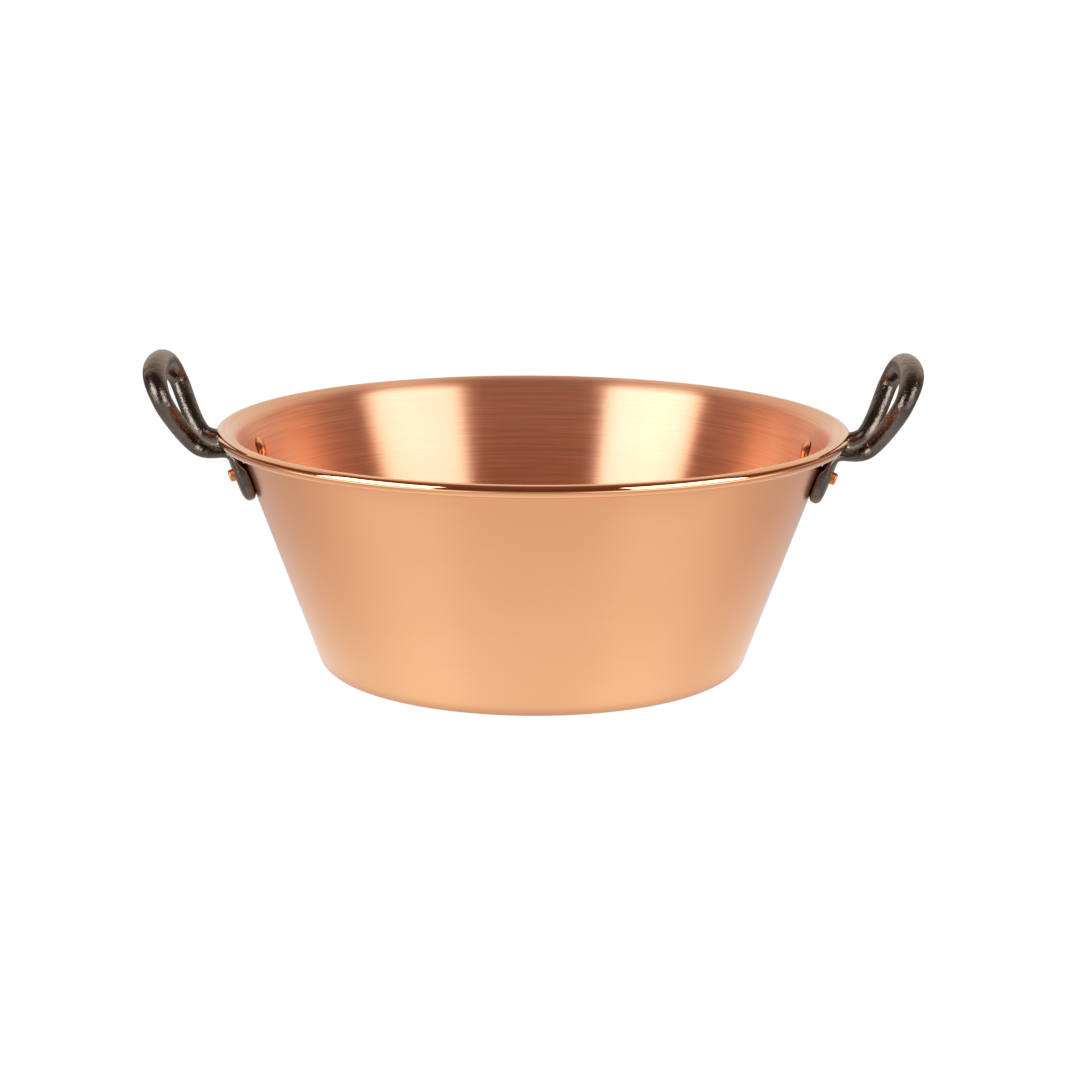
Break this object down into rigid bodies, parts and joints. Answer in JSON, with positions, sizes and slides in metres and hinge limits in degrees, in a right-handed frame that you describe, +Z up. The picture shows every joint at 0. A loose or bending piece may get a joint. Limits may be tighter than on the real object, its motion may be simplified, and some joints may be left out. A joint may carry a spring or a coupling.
{
  "type": "jam pan",
  "caption": "Wide round copper pan with sloping sides, a rolled rim and a cast iron loop handle riveted on at each side, for boiling jam.",
  "frame": {"origin": "centre of the flat base, on the surface that the pan stands on", "axes": "+Z up along the bowl's axis, +X towards one handle, -Y towards the front, from where the picture was taken"},
  "size_m": [0.4406, 0.3598, 0.1808],
  "materials": {
    "copper_sheet": "satin outside, brushed inside, polished on the rolled rim",
    "handle_iron": "dark satin with a fine cast texture",
    "rivet_copper": "bright"
  },
  "bodies": {
    "root": {"bowl": "copper_sheet", "handle_right": "handle_iron", "handle_left": "handle_iron", "rivet_right_front": "rivet_copper", "rivet_right_back": "rivet_copper", "rivet_left_front": "rivet_copper", "rivet_left_back": "rivet_copper"}
  },
  "joints": []
}
